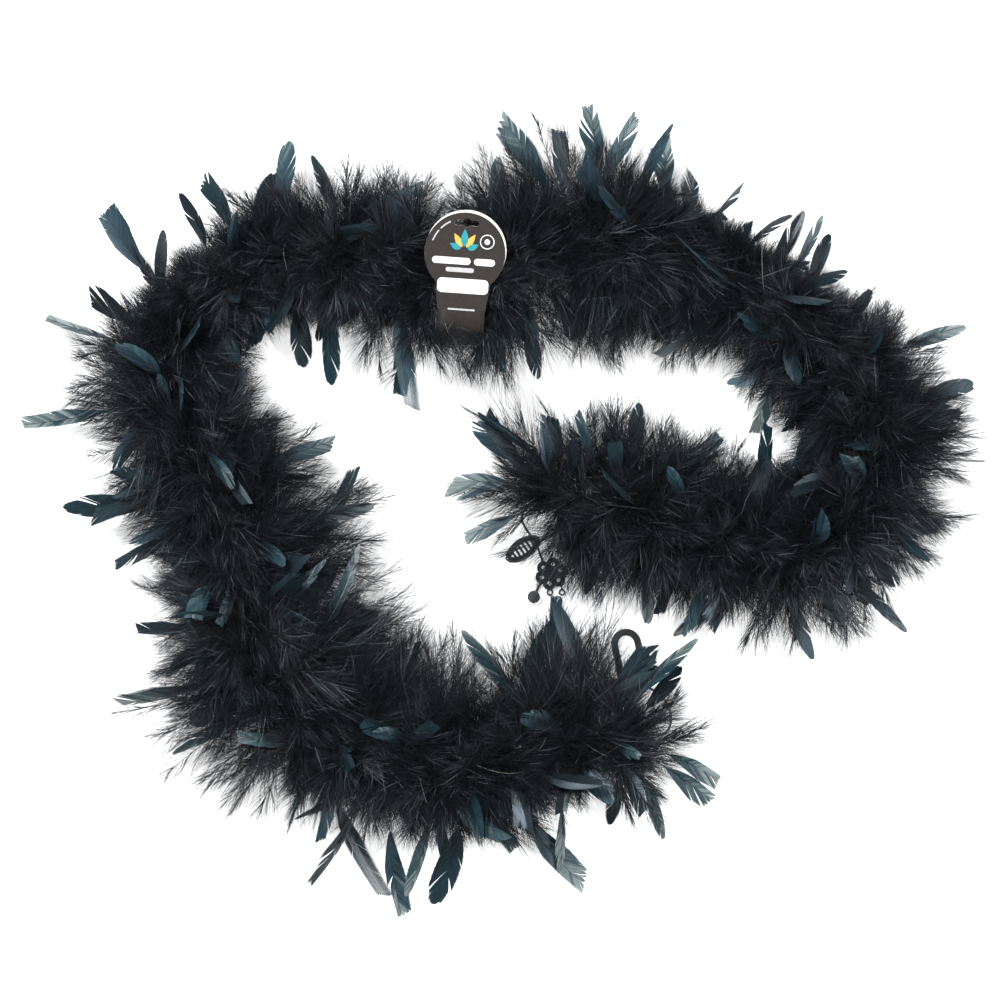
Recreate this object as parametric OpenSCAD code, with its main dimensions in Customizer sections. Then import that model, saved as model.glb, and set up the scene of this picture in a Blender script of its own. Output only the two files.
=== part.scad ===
// Feather boa lying in an open loop: a twisted core cord, whorls of down and longer
// plumes bound on to it with thread, a crochet tie at each end and a wrapped header card.
// The core is a chain of equal arcs, and each arc is one stiff section between two bends.

/* [Boa] */
// Length of core cord in one section
section_length = 150; // [140:1:150]
// Height of the core above the surface that the boa lies on
core_height = 52; // [50:1:54]
// Diameter of the twisted core cord
core_d = 8; // [6:0.5:9]
// Gap between two sections' core cords, which leaves room for the bend
core_gap = 5; // [4:0.5:8]

/* [Down] */
// Half width of the down, from the core out to either side
down_half_width = 80; // [60:1:82]
// Height of the down above the core
down_rise = 55; // [45:1:56]
// Depth that the down would reach below the core if it were not lying on a surface
down_drop = 58; // [56:1:64]
// Thickness of one whorl of down
whorl_thickness = 1.6; // [1:0.1:2]
// Distance along the core from one whorl to the next
whorl_pitch = 12; // [10:0.5:12]

/* [Plumes] */
// Diameter of a plume's quill
quill_d = 1.8; // [1:0.1:2.4]
// Thickness of a plume's vane
vane_thickness = 0.8; // [0.6:0.1:1.2]

/* [Thread] */
// Diameter of the binding thread
thread_d = 1.2; // [0.8:0.1:1.6]
// Number of thread turns in one section
thread_turns = 5; // [3:1:6]

/* [Header card] */
// Diameter of the round panel
card_d = 71; // [60:1:74]
// Width of the strip that wraps round the boa
strip_width = 42; // [30:1:42]
// Thickness of the card
card_thickness = 0.6; // [0.5:0.1:0.8]
// Radius inside the loop that the strip makes round the boa
loop_radius = 34; // [33:0.5:35]
// Angle at which the round panel lies on the down
card_tilt = 10; // [8:1:14]

/* [Crochet ties] */
// Diameter of the crochet yarn cord
yarn_d = 2.4; // [1.6:0.1:3]
// Diameter of the crochet ball that buttons the boa
ball_d = 12; // [10:0.5:14]
// Thickness of the crochet work lying flat
crochet_thickness = 5; // [3:0.5:6]

/* [Hidden] */

round_facets = 64;
card_section = 6;
last_section = 12;

// The route: where the core starts, which way it heads, and how far each section turns
start_point = [42, 10];
start_heading = 0;
bends = [-28, 81, 88, 8, 60, -50, 50, 93, -26, 43, 52, -5];

// Whorls of each section, as distances along it; the ends of the boa leave room for the ties
plain_whorls = [for (i = [0:10]) 15 + whorl_pitch * i];
first_whorls = [for (i = [1:10]) 15 + whorl_pitch * i];
last_whorls = [for (i = [0:7]) 15 + whorl_pitch * i];
card_whorls = [15, 28, 41, 111, 123, 135];
waist_offsets = [-12, 0, 12];
end_whorl_share = 0.86;
low_whorl_share = 0.86;
low_whorl_rise = 36;
low_whorl_reach = 49;
widest_share_of_bend = 0.8;

// Plumes: [section, distance along it, side (1 left, -1 right), lean along the core,
//          length from the core, vane width]
plumes = [
    [1, 6, 1, -70, 92, 24], [1, 6, -1, -70, 88, 14], [1, 12, 1, -25, 96, 9],
    [1, 70, 1, 0, 92, 16], [1, 110, -1, 0, 92, 20],
    [2, 30, -1, 5, 92, 16], [2, 70, -1, -5, 100, 14], [2, 110, -1, 0, 112, 12],
    [3, 50, -1, 0, 93, 16], [3, 90, -1, 0, 92, 22], [3, 125, -1, 0, 104, 14],
    [4, 35, 1, 0, 100, 16], [4, 110, 1, 0, 92, 22], [4, 75, -1, 0, 92, 14],
    [5, 40, -1, 10, 96, 22], [5, 90, -1, 0, 125, 20], [5, 120, -1, -5, 104, 16],
    [5, 40, 1, 0, 96, 22],
    [6, 30, -1, 0, 104, 16], [6, 30, 1, 0, 96, 14], [6, 120, 1, 0, 104, 16],
    [7, 40, -1, 10, 96, 12], [7, 90, -1, -5, 102, 20], [7, 45, 1, 0, 112, 18],
    [8, 40, -1, 0, 112, 22], [8, 85, -1, -5, 120, 16], [8, 120, -1, 5, 142, 14],
    [9, 60, -1, 0, 135, 22], [9, 95, -1, 0, 110, 16], [9, 60, 1, 0, 112, 16],
    [9, 110, 1, 0, 126, 20],
    [10, 35, -1, 0, 100, 12], [10, 75, -1, 0, 132, 18], [10, 110, -1, -5, 116, 14],
    [10, 60, 1, 0, 96, 18],
    [11, 35, -1, 0, 110, 16], [11, 85, -1, 0, 138, 18], [11, 118, -1, 0, 112, 14],
    [11, 75, 1, 0, 108, 12],
    [12, 35, -1, 0, 130, 22], [12, 80, -1, 0, 112, 12], [12, 50, 1, 0, 118, 20],
    [12, 140, 1, 45, 84, 14], [12, 146, -1, 75, 88, 16], [12, 140, -1, 30, 92, 12]];
plume_climb = 14;

// Header card: the loop's centre across and above the core, and the panel's place
card_yaw = -4;
loop_across = -24;
loop_above = 4;
panel_across = 50;
back_panel_shift = 2;
strip_top_width = 50;
loop_mouth = [32, 34];
hang_hole_length = 22;
hang_hole_width = 5;
hang_hole_bump_d = 8;
hang_hole_edge = 9;
label_size = [45, 13];
label_thickness = 0.15;
label_across = 21;

// Crochet ties: places on the surface, and the yarn cords' routes up to the core's ends
leaf_place = [20, -37];
leaf_angle = 35;
leaf_length = 38;
leaf_width = 19;
leaf_rim = 4;
rosette_place = [46, -60];
rosette_petal_d = 12;
rosette_petal_ring = 9;
picot_places = [[45, -77], [56, -77]];
picot_d = 4.4;
ball_place = [30, -81];
loop_place = [118, -138];
loop_lean = 12;
loop_length = 56;
loop_width = 28;
loop_rim = 6;
tie_a_route = [[42, 10, 52], [32, 9, 51], [24, 3, 45], [19, -6, 33], [20, -13, 21], [24, -20, 11],
               [29, -27, 5], [33, -34, 2.5], [36, -42, 2.5], [39, -50, 2.5]];
ball_stem_route = [[39, -66, 2.5], [35, -71, 3], [32.5, -76, 4.5]];
tie_b_route = [[135, -203, 52], [145, -203, 51], [152, -197, 44], [154, -187, 32], [152, -179, 20],
               [147, -172, 9], [140, -167, 3.5], [133, -163, 2.5], [128, -158, 2.5]];

// Start and heading of section k, counted from 1
function heading_of(k) = k == 1 ? start_heading : heading_of(k - 1) + bends[k - 2];
function bend_radius(k) = section_length / (bends[k - 1] * PI / 180);
function chord(k, s) = let (turn = bends[k - 1] * s / section_length)
    2 * bend_radius(k) * sin(turn / 2)
    * [cos(heading_of(k) + turn / 2), sin(heading_of(k) + turn / 2)];
function start_of(k) = k == 1 ? start_point : start_of(k - 1) + chord(k - 1, section_length);
function point_at(k, s) = start_of(k) + chord(k, s);
function heading_at(k, s) = heading_of(k) + bends[k - 1] * s / section_length;

// Ring of points round one point of a tube, square to the line from the point before to the one after
function tube_ring(path, i, r, sides) =
    let (before = path[max(i - 1, 0)],
         after = path[min(i + 1, len(path) - 1)],
         along = (after - before) / norm(after - before),
         reference = abs(along[2]) > 0.9 ? [1, 0, 0] : [0, 0, 1],
         across = cross(along, reference) / norm(cross(along, reference)),
         up = cross(across, along))
    [for (j = [0:sides - 1]) path[i] + r * (cos(360 * j / sides) * across + sin(360 * j / sides) * up)];

module tube(path, d, sides = 8) {
    rings = len(path);
    points = [for (i = [0:rings - 1]) each tube_ring(path, i, d / 2, sides)];
    skin = [for (i = [0:rings - 2], j = [0:sides - 1])
        let (a = i * sides + j, b = i * sides + (j + 1) % sides)
        each [[a, b, b + sides], [a, b + sides, a + sides]]];
    first_cap = [for (j = [0:sides - 1]) sides - 1 - j];
    last_cap = [for (j = [0:sides - 1]) (rings - 1) * sides + j];
    polyhedron(points, concat([first_cap], skin, [last_cap]), convexity = 4);
}

module at_route(k, s) {
    translate(concat(point_at(k, s), core_height)) rotate([0, 0, heading_at(k, s)]) children();
}

module in_card_frame() {
    translate(concat(point_at(card_section, section_length / 2), core_height))
        rotate([0, 0, card_yaw]) children();
}

// A plate square to the core: its outline's first axis points left and its second up
module plate_across(thickness) {
    rotate([90, 0, 90]) linear_extrude(thickness, center = true) children();
}

module core_cord(k) {
    radius = bend_radius(k);
    from_turn = bends[k - 1] * core_gap / 2 / section_length;
    color([0.09, 0.09, 0.10])
        translate(concat(start_of(k), core_height))
        rotate([0, 0, heading_of(k)])
        translate([0, radius, 0])
        rotate([0, 0, (radius > 0 ? -90 : 90) + (radius > 0 ? from_turn : bends[k - 1] - from_turn)])
        rotate_extrude(angle = abs(bends[k - 1]) - 2 * abs(from_turn), $fn = 4 * round_facets)
        translate([abs(radius), 0]) circle(d = core_d, $fn = round_facets / 2);
}

// Turns of thread pulled a little way into the cord, midway between two whorls
module binding_thread(k) {
    turn_radius = core_d / 2 + 0.3 * thread_d;
    color([0.05, 0.05, 0.06])
        for (i = [0:thread_turns - 1])
            at_route(k, section_length * (i + 0.5) / thread_turns + whorl_pitch / 4)
            rotate([0, 90, 0]) rotate_extrude($fn = round_facets)
            translate([turn_radius, 0]) circle(d = thread_d, $fn = round_facets / 4);
}

// Outline of one whorl seen along the core, flat where it lies on the surface
function whorl_outline(left, right, rise) =
    let (floor_angle = asin(core_height / down_drop), steps = 20)
    [for (i = [0:steps])
        let (t = -floor_angle + (180 + 2 * floor_angle) * i / steps)
        [-(cos(t) > 0 ? right : left) * cos(t), (sin(t) > 0 ? rise : down_drop) * sin(t)]];

function half_width(k, s, inner) =
    let (ripple = 1 + 0.04 * sin(73 * k + 5 * s), limit = widest_share_of_bend * abs(bend_radius(k)))
    inner ? min(down_half_width * ripple, limit) : down_half_width * ripple;

module whorl(k, s) {
    near_bend = min(s, section_length - s) < 16;
    near_card = k == card_section && abs(s - section_length / 2) < low_whorl_reach;
    share = near_card ? low_whorl_share : near_bend ? end_whorl_share : 1;
    rise = near_card ? low_whorl_rise : near_bend ? end_whorl_share * down_rise : down_rise;
    at_route(k, s) plate_across(whorl_thickness)
        polygon(whorl_outline(share * half_width(k, s, bends[k - 1] > 0),
                              share * half_width(k, s, bends[k - 1] < 0), rise));
}

// Down squeezed to a waist where the card's loop holds it
module waist_whorl(offset_along) {
    in_card_frame() translate([offset_along, loop_across, loop_above]) plate_across(whorl_thickness)
        polygon([for (i = [0:15]) (loop_radius - 2.5) * [cos(22.5 * i), sin(22.5 * i)]]);
}

module down_feathers(k) {
    places = k == 1 ? first_whorls
        : k == last_section ? last_whorls : k == card_section ? card_whorls : plain_whorls;
    color([0.13, 0.13, 0.15]) {
        for (s = places) whorl(k, s);
        if (k == card_section) for (x = waist_offsets) waist_whorl(x);
    }
}

// Leaf-shaped plume on its quill, lying along +x
module plume(length, width) {
    vane_start = 0.55 * length;
    translate([0, 0, -quill_d / 4]) linear_extrude(quill_d / 2)
        polygon([[core_d / 4, quill_d / 2], [0.9 * length, quill_d / 4],
                 [0.9 * length, -quill_d / 4], [core_d / 4, -quill_d / 2]]);
    translate([0, 0, -vane_thickness / 2]) linear_extrude(vane_thickness)
        polygon([[vane_start, 0.08 * width], [0.7 * length, 0.4 * width], [0.85 * length, 0.5 * width],
                 [0.96 * length, 0.38 * width], [length, 0.06 * width], [length, -0.1 * width],
                 [0.93 * length, -0.45 * width], [0.8 * length, -0.5 * width],
                 [0.65 * length, -0.3 * width], [vane_start, -0.08 * width]]);
}

module plume_feathers(k) {
    color([0.13, 0.20, 0.23])
        for (i = [0:len(plumes) - 1])
            if (plumes[i][0] == k)
                at_route(k, plumes[i][1])
                rotate([0, 0, plumes[i][2] * (90 - plumes[i][3])])
                rotate([0, plume_climb * sin(200 * i), 0])
                plume(plumes[i][4], plumes[i][5]);
}

// Thread whipped tightly round a cut end of the core
module whipping(k, s) {
    color([0.05, 0.05, 0.06]) at_route(k, s) rotate([0, 90, 0])
        difference() {
            cylinder(h = 9, d = core_d + 3, center = true, $fn = round_facets);
            cylinder(h = 10, d = core_d, center = true, $fn = round_facets);
        }
}

module end_whipping_a() {
    whipping(1, 9);
}

module end_whipping_b() {
    whipping(last_section, section_length - 9);
}

// Places children in the card's own frame: x along the loop's axis, y towards the round
// panel, z up, with the origin in the middle of the loop
module in_loop_frame() {
    in_card_frame() translate([0, loop_across, loop_above]) rotate([card_tilt, 0, 0]) children();
}

module hang_hole() {
    translate([0, card_d / 2 - hang_hole_edge]) {
        square([hang_hole_length - hang_hole_width, hang_hole_width], center = true);
        circle(d = hang_hole_bump_d, $fn = round_facets);
        for (side = [-1, 1])
            translate([side * (hang_hole_length - hang_hole_width) / 2, 0])
                circle(d = hang_hole_width, $fn = round_facets);
    }
}

module front_panel() {
    difference() {
        union() {
            translate([0, panel_across]) circle(d = card_d, $fn = 2 * round_facets);
            polygon([[-strip_width / 2, 0], [strip_width / 2, 0],
                     [strip_top_width / 2, panel_across - card_d / 4],
                     [-strip_top_width / 2, panel_across - card_d / 4]]);
        }
        translate([0, panel_across]) hang_hole();
    }
}

module back_panel() {
    difference() {
        intersection() {
            translate([0, panel_across + back_panel_shift]) circle(d = card_d, $fn = 2 * round_facets);
            translate([-card_d / 2, loop_mouth[0] - card_thickness]) square([card_d, 2 * card_d]);
        }
        translate([0, panel_across]) hang_hole();
    }
}

// Strip seen from its edge: round the boa, and up again to the back panel
module strip_profile() {
    mouth_angle = 2 * atan2(loop_mouth[1], loop_mouth[0]) - 90;
    outer = loop_radius + card_thickness;
    difference() {
        circle(r = outer, $fn = 2 * round_facets);
        circle(r = loop_radius, $fn = 2 * round_facets);
        polygon([[0, 0], 2 * outer * [cos(mouth_angle), sin(mouth_angle)], [2 * outer, 2 * outer],
                 [0, 2 * outer]]);
    }
    polygon([loop_radius * [cos(mouth_angle), sin(mouth_angle)],
             outer * [cos(mouth_angle), sin(mouth_angle)],
             [loop_mouth[0] + card_thickness, loop_radius],
             [loop_mouth[0], loop_radius - card_thickness / 2]]);
}

module header_card() {
    color([0.20, 0.17, 0.17]) in_loop_frame() {
        translate([0, 0, loop_radius]) linear_extrude(card_thickness) front_panel();
        translate([0, 0, loop_radius - card_thickness]) linear_extrude(card_thickness) back_panel();
        plate_across(strip_width) strip_profile();
    }
}

module card_label() {
    color([0.93, 0.93, 0.92]) in_loop_frame()
        translate([0, label_across, loop_radius + card_thickness]) linear_extrude(label_thickness)
        hull()
            for (x = [-1, 1], y = [-1, 1])
                translate([x * (label_size[0] / 2 - 4), y * (label_size[1] / 2 - 4)])
                    circle(r = 4, $fn = 32);
}

module tie_cord_a() {
    color([0.08, 0.08, 0.08]) tube(tie_a_route, yarn_d);
}

module leaf_outline(length, width) {
    reach = (length * length - width * width) / (4 * width);
    radius = reach + width / 2;
    intersection() {
        translate([0, reach]) circle(r = radius, $fn = 3 * round_facets);
        translate([0, -reach]) circle(r = radius, $fn = 3 * round_facets);
    }
}

// Leaf-shaped crochet band with the ladder of bars inside it
module tie_leaf() {
    color([0.08, 0.08, 0.08])
        translate(concat(leaf_place, 0)) rotate([0, 0, leaf_angle])
        linear_extrude(crochet_thickness) {
            difference() {
                leaf_outline(leaf_length, leaf_width);
                leaf_outline(leaf_length - 3.2 * leaf_rim, leaf_width - 2 * leaf_rim);
            }
            for (x = [-6, -2, 2, 6]) translate([x, 0]) square([1.2, leaf_width - leaf_rim], center = true);
        }
}

// Rosette of petals with small picot rings on its lower edge
module tie_rosette() {
    color([0.08, 0.08, 0.08]) {
        translate(concat(rosette_place, 0)) linear_extrude(crochet_thickness)
            difference() {
                union() {
                    circle(r = rosette_petal_ring, $fn = round_facets);
                    for (i = [0:5])
                        rotate(60 * i + 20) translate([rosette_petal_ring, 0])
                            circle(d = rosette_petal_d, $fn = round_facets);
                }
                for (i = [0:5])
                    rotate(60 * i + 20) translate([rosette_petal_ring, 0])
                        circle(d = 3, $fn = 32);
            }
        for (p = picot_places)
            translate(concat(p, 0)) linear_extrude(crochet_thickness / 2)
                difference() {
                    circle(d = picot_d + 2, $fn = 32);
                    circle(d = picot_d - 1.4, $fn = 32);
                }
    }
}

module tie_ball() {
    color([0.08, 0.08, 0.08]) {
        translate(concat(ball_place, ball_d / 2)) sphere(d = ball_d, $fn = round_facets);
        tube(ball_stem_route, 1.5 * yarn_d);
    }
}

module tie_cord_b() {
    color([0.08, 0.08, 0.08]) tube(tie_b_route, yarn_d);
}

module stadium(length, width) {
    square([length - width, width], center = true);
    for (side = [-1, 1])
        translate([side * (length - width) / 2, 0]) circle(d = width, $fn = round_facets);
}

// Crochet loop that the ball buttons into
module tie_loop() {
    color([0.08, 0.08, 0.08])
        translate(concat(loop_place, 0)) rotate([0, 0, 90 + loop_lean])
        linear_extrude(crochet_thickness)
        difference() {
            stadium(loop_length, loop_width);
            stadium(loop_length - 2 * loop_rim, loop_width - 2 * loop_rim);
        }
}

core_cord(1);  // core_cord_01
core_cord(2);  // core_cord_02
core_cord(3);  // core_cord_03
core_cord(4);  // core_cord_04
core_cord(5);  // core_cord_05
core_cord(6);  // core_cord_06
core_cord(7);  // core_cord_07
core_cord(8);  // core_cord_08
core_cord(9);  // core_cord_09
core_cord(10);  // core_cord_10
core_cord(11);  // core_cord_11
core_cord(12);  // core_cord_12
binding_thread(1);  // binding_thread_01
binding_thread(2);  // binding_thread_02
binding_thread(3);  // binding_thread_03
binding_thread(4);  // binding_thread_04
binding_thread(5);  // binding_thread_05
binding_thread(6);  // binding_thread_06
binding_thread(7);  // binding_thread_07
binding_thread(8);  // binding_thread_08
binding_thread(9);  // binding_thread_09
binding_thread(10);  // binding_thread_10
binding_thread(11);  // binding_thread_11
binding_thread(12);  // binding_thread_12
down_feathers(1);  // down_feathers_01
down_feathers(2);  // down_feathers_02
down_feathers(3);  // down_feathers_03
down_feathers(4);  // down_feathers_04
down_feathers(5);  // down_feathers_05
down_feathers(6);  // down_feathers_06
down_feathers(7);  // down_feathers_07
down_feathers(8);  // down_feathers_08
down_feathers(9);  // down_feathers_09
down_feathers(10);  // down_feathers_10
down_feathers(11);  // down_feathers_11
down_feathers(12);  // down_feathers_12
plume_feathers(1);  // plume_feathers_01
plume_feathers(2);  // plume_feathers_02
plume_feathers(3);  // plume_feathers_03
plume_feathers(4);  // plume_feathers_04
plume_feathers(5);  // plume_feathers_05
plume_feathers(6);  // plume_feathers_06
plume_feathers(7);  // plume_feathers_07
plume_feathers(8);  // plume_feathers_08
plume_feathers(9);  // plume_feathers_09
plume_feathers(10);  // plume_feathers_10
plume_feathers(11);  // plume_feathers_11
plume_feathers(12);  // plume_feathers_12
end_whipping_a();
end_whipping_b();
header_card();
card_label();
tie_cord_a();
tie_leaf();
tie_rosette();
tie_ball();
tie_cord_b();
tie_loop();
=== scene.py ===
"""Looks of the feather boa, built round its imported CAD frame. Lengths are in metres."""

import math

import bpy
import numpy as np
from mathutils import Matrix, Vector


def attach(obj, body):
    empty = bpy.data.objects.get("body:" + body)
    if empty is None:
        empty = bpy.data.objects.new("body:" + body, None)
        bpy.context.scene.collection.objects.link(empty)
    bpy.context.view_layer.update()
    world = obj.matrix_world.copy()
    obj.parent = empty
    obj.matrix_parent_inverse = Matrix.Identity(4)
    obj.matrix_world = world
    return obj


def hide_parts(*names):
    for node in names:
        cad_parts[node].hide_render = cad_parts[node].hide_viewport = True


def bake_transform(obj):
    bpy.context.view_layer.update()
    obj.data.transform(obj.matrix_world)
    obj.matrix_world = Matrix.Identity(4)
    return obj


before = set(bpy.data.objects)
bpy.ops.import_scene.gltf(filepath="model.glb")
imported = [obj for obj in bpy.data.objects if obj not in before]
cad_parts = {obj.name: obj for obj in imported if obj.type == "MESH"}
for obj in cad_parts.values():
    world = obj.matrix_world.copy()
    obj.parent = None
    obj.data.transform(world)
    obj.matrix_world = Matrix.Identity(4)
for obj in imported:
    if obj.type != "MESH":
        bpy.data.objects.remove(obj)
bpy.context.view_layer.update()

MM = 0.001

# ---- camera

camera_data = bpy.data.cameras.new("camera")
camera_data.lens = 85
camera_data.sensor_width = 36
camera = bpy.data.objects.new("camera", camera_data)
camera.location = (-0.001, 0.008, 2.175)
bpy.context.scene.collection.objects.link(camera)
bpy.context.scene.camera = camera

# ---- the core's route, as the CAD has it

SECTION = 0.150
CORE_Z = 0.052
CORE_R = 0.004
# Share of the core's radius at which feathers are rooted
ROOT_DEPTH = 0.7
START = np.array([0.042, 0.010])
BENDS = [-28, 81, 88, 8, 60, -50, 50, 93, -26, 43, 52, -5]
CARD_SECTION = 6
LAST = len(BENDS)


def arc(start, heading, bend, s):
    """Points and headings at distances s along an arc of SECTION that turns by bend degrees."""
    half = np.radians(bend) * s / SECTION / 2
    radius = SECTION / math.radians(bend)
    chord = 2 * radius * np.sin(half)
    a = heading + half
    return np.stack([start[0] + chord * np.cos(a), start[1] + chord * np.sin(a)], -1), heading + 2 * half


STARTS, HEADINGS = [START], [0.0]
for _bend in BENDS:
    _p, _h = arc(STARTS[-1], HEADINGS[-1], _bend, np.array(SECTION))
    STARTS.append(_p)
    HEADINGS.append(float(_h))


def on_route(k, s):
    """Point, tangent and left normal on the core of section k, counted from 1, at distances s."""
    s = np.asarray(s, float)
    p, h = arc(STARTS[k - 1], HEADINGS[k - 1], BENDS[k - 1], s)
    point = np.concatenate([p, np.full(p.shape[:-1] + (1,), CORE_Z)], -1)
    zero = np.zeros_like(h)
    tangent = np.stack([np.cos(h), np.sin(h), zero], -1)
    left = np.stack([-np.sin(h), np.cos(h), zero], -1)
    return point, tangent, left


def unit(v):
    return v / np.maximum(np.linalg.norm(v, axis=-1, keepdims=True), 1e-12)


UP = np.array([0, 0, 1.0])


def around(left, turn):
    """Directions straight out of the core, at angles turn from its left side towards the top."""
    return left * np.cos(turn)[:, None] + UP * np.sin(turn)[:, None]


def leaning(out, tangent, lean):
    """Directions out of the core that lean forwards along it by angles lean."""
    return unit(out * np.cos(lean)[:, None] + tangent * np.sin(lean)[:, None])


# ---- the card's place

CARD_YAW = -4
CARD_TILT = 10
LOOP_CENTRE = (0, -0.024, 0.004)
CARD = (
    Matrix.Translation(Vector(on_route(CARD_SECTION, SECTION / 2)[0]))
    @ Matrix.Rotation(math.radians(CARD_YAW), 4, "Z")
    @ Matrix.Translation(LOOP_CENTRE)
    @ Matrix.Rotation(math.radians(CARD_TILT), 4, "X")
)
CARD_TO_ROW = np.array(CARD)
ROW_TO_CARD = np.array(CARD.inverted())
PANEL_Y = 0.050
PANEL_R = 0.0355
LOOP_R = 0.034
STRIP_HALF = 0.021
WAIST_HALF = 0.022


def moved(matrix, p):
    return p @ matrix[:3, :3].T + matrix[:3, 3]


def in_waist(k, s):
    """Whether feathers of section k rooted at distances s stand inside the card's loop."""
    return (k == CARD_SECTION) & (np.abs(s - SECTION / 2) < WAIST_HALF)


def clear_card(p, held):
    """Feather points pressed under the card's panel and inside or outside its loop.

    held marks the points of feathers that are rooted inside the loop.
    """
    q = moved(ROW_TO_CARD, p)
    x, y, z = q[..., 0], q[..., 1], q[..., 2]
    # inside the loop, the down is squeezed to its radius, and flares out past the strip's edges
    r = np.hypot(y, z)
    limit = LOOP_R - 0.0015 + np.maximum(np.abs(x) - STRIP_HALF, 0) * 1.6
    squeeze = np.where(held & (r > limit), limit / np.maximum(r, 1e-9), 1.0)
    y, z = y * squeeze, z * squeeze
    # beside the loop, feathers that reach over the strip from outside lie on it
    r = np.hypot(y, z)
    over = (~held) & (np.abs(x) < STRIP_HALF + 0.002) & (y < -0.016) & (r < LOOP_R + 0.003)
    push = np.where(over, (LOOP_R + 0.003) / np.maximum(r, 1e-9), 1.0)
    y, z = y * push, z * push
    # under the panel and the strip's flat part
    disc = np.hypot(x, y - PANEL_Y) - PANEL_R
    half = STRIP_HALF + np.clip(y / 0.042, 0, 1) * 0.004
    strip = np.maximum(np.abs(x) - half, np.maximum(-0.012 - y, y - PANEL_Y))
    d = np.minimum(disc, strip)
    top = LOOP_R - 0.0022 + np.maximum(d - 0.001, 0) * 1.4
    hold = np.where(d < 0.012, np.minimum(z, top), z)
    z = np.where(z > top - 0.012, hold, z)
    return moved(CARD_TO_ROW, np.stack([x, y, z], -1))


# ---- meshes from arrays


def new_object(name, data):
    made = bpy.data.objects.new(name, data)
    bpy.context.scene.collection.objects.link(made)
    return made


def new_mesh(name, verts, quads, uv, materials, index):
    mesh = bpy.data.meshes.new(name)
    mesh.vertices.add(len(verts))
    mesh.vertices.foreach_set("co", np.ascontiguousarray(verts, np.float32).ravel())
    mesh.loops.add(quads.size)
    mesh.loops.foreach_set("vertex_index", np.ascontiguousarray(quads, np.int32).ravel())
    mesh.polygons.add(len(quads))
    mesh.polygons.foreach_set("loop_start", np.arange(0, quads.size, 4, dtype=np.int32))
    for m in materials:
        mesh.materials.append(m)
    mesh.polygons.foreach_set("material_index", np.ascontiguousarray(index, np.int32))
    mesh.polygons.foreach_set("use_smooth", np.full(len(quads), True))
    layer = mesh.uv_layers.new(name="OFBake")
    layer.data.foreach_set("uv", np.ascontiguousarray(uv[quads.ravel()], np.float32).ravel())
    mesh.update()
    mesh.validate()
    return new_object(name, mesh)


class Bundle:
    """Ribbons and tubes gathered for one piece."""

    def __init__(self):
        self.verts, self.quads, self.uv, self.index = [], [], [], []
        self.count = 0

    def add(self, verts, quads, across, points, material):
        """The map's first coordinate is across, of shape (strips, 1, corners); its second runs along."""
        along = np.linspace(0.02, 0.98, points)[None, :, None]
        self.verts.append(verts)
        self.quads.append(quads + self.count)
        self.uv.append(np.stack(np.broadcast_arrays(across, along), -1).reshape(-1, 2))
        self.index.append(np.full(len(quads), material))
        self.count += len(verts)

    def ribbons(self, centre, width, tint, material):
        """centre and width are (ribbons, points, 3); width is half the ribbon, across it."""
        n, m = centre.shape[:2]
        verts = np.stack([centre - width, centre + width], 2).reshape(-1, 3)
        idx = np.arange(n * m * 2).reshape(n, m, 2)
        quads = np.stack([idx[:, :-1, 0], idx[:, :-1, 1], idx[:, 1:, 1], idx[:, 1:, 0]], -1).reshape(-1, 4)
        self.add(verts, quads, tint[:, None, None] + np.array([-0.004, 0.004]), m, material)

    def tubes(self, centre, radius, sides, tint, material, side=None):
        """centre is (tubes, points, 3), radius (tubes, points)."""
        n, m = centre.shape[:2]
        along = unit(np.gradient(centre, axis=1))
        if side is None:
            side = np.where(np.abs(along[..., 2:]) > 0.9, [1.0, 0, 0], [0, 0, 1.0])
        across = unit(np.cross(along, side))
        up = np.cross(across, along)
        a = np.linspace(0, 2 * np.pi, sides, endpoint=False)[None, None, :, None]
        ring = across[:, :, None] * np.cos(a) + up[:, :, None] * np.sin(a)
        verts = (centre[:, :, None] + ring * radius[:, :, None, None]).reshape(-1, 3)
        idx = np.arange(n * m * sides).reshape(n, m, sides)
        nxt = np.roll(idx, -1, axis=2)
        quads = np.stack([idx[:, :-1], nxt[:, :-1], nxt[:, 1:], idx[:, 1:]], -1).reshape(-1, 4)
        self.add(verts, quads, tint[:, None, None] + np.zeros(sides), m, material)

    def strand(self, centre, radius, sides, side=None):
        """One tube of one colour; centre is (points, 3), radius a number or one for each point."""
        radius = np.broadcast_to(radius, (1, len(centre)))
        self.tubes(centre[None], radius, sides, np.array([0.5]), 0, side)

    def piece(self, name, materials):
        return new_mesh(name, np.concatenate(self.verts), np.concatenate(self.quads), np.concatenate(self.uv),
                        materials, np.concatenate(self.index))


# ---- materials


def set_inputs(node, **values):
    """Constants on a node's own inputs, by name, with _ for a space."""
    for key, value in values.items():
        node.inputs[key.replace("_", " ")].default_value = value
    return node


def principled(name, **values):
    material = bpy.data.materials.new(name)
    material.use_nodes = True
    tree = material.node_tree
    return material, tree, set_inputs(tree.nodes["Principled BSDF"], **values)


def link(tree, a, b):
    tree.links.new(a, b)


def grey(value):
    return (value, value, value)


def ramp_from(tree, source, stops):
    node = tree.nodes.new("ShaderNodeValToRGB")
    ramp = node.color_ramp
    while len(ramp.elements) < len(stops):
        ramp.elements.new(0.5)
    for element, (place, colour) in zip(ramp.elements, stops):
        element.position = place
        element.color = (*colour, 1)
    link(tree, source, node.inputs["Fac"])
    return node.outputs["Color"]


def multiplied(tree, a, b):
    node = tree.nodes.new("ShaderNodeMix")
    node.data_type = "RGBA"
    node.blend_type = "MULTIPLY"
    node.inputs["Factor"].default_value = 1
    link(tree, a, node.inputs[6])
    link(tree, b, node.inputs[7])
    return node.outputs[2]


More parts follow.
